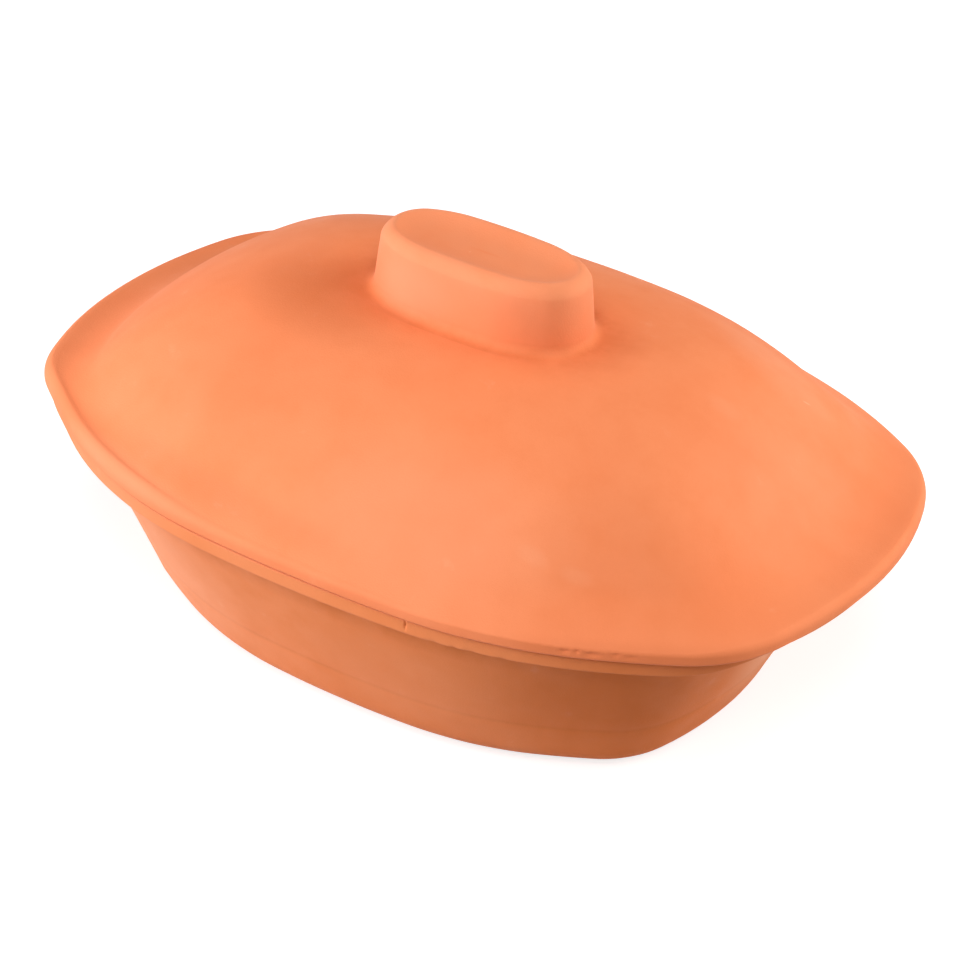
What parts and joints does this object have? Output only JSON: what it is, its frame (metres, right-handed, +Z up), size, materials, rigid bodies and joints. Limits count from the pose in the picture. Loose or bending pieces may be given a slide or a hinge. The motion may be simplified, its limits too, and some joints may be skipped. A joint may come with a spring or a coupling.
{
  "type": "clay roaster",
  "caption": "Unglazed oval clay roasting dish with end lugs and a loose domed lid that carries a moulded, dished grip, for slow cooking in an oven.",
  "frame": {"origin": "on the table under the middle of the dish", "axes": "+X along the length of the dish from lug to lug, +Z up through the grip"},
  "size_m": [0.38, 0.266, 0.1748],
  "materials": {
    "dish_clay": "unglazed, matt",
    "lid_clay": "unglazed, matt"
  },
  "bodies": {
    "dish": {"roasting_dish": "dish_clay"},
    "lid": {"domed_lid": "lid_clay"}
  },
  "joints": [
    {"name": "lid_lift", "type": "slide", "parent": "dish", "child": "lid", "axis": [0, 0, 1], "range_m": [0, 0.16]}
  ]
}
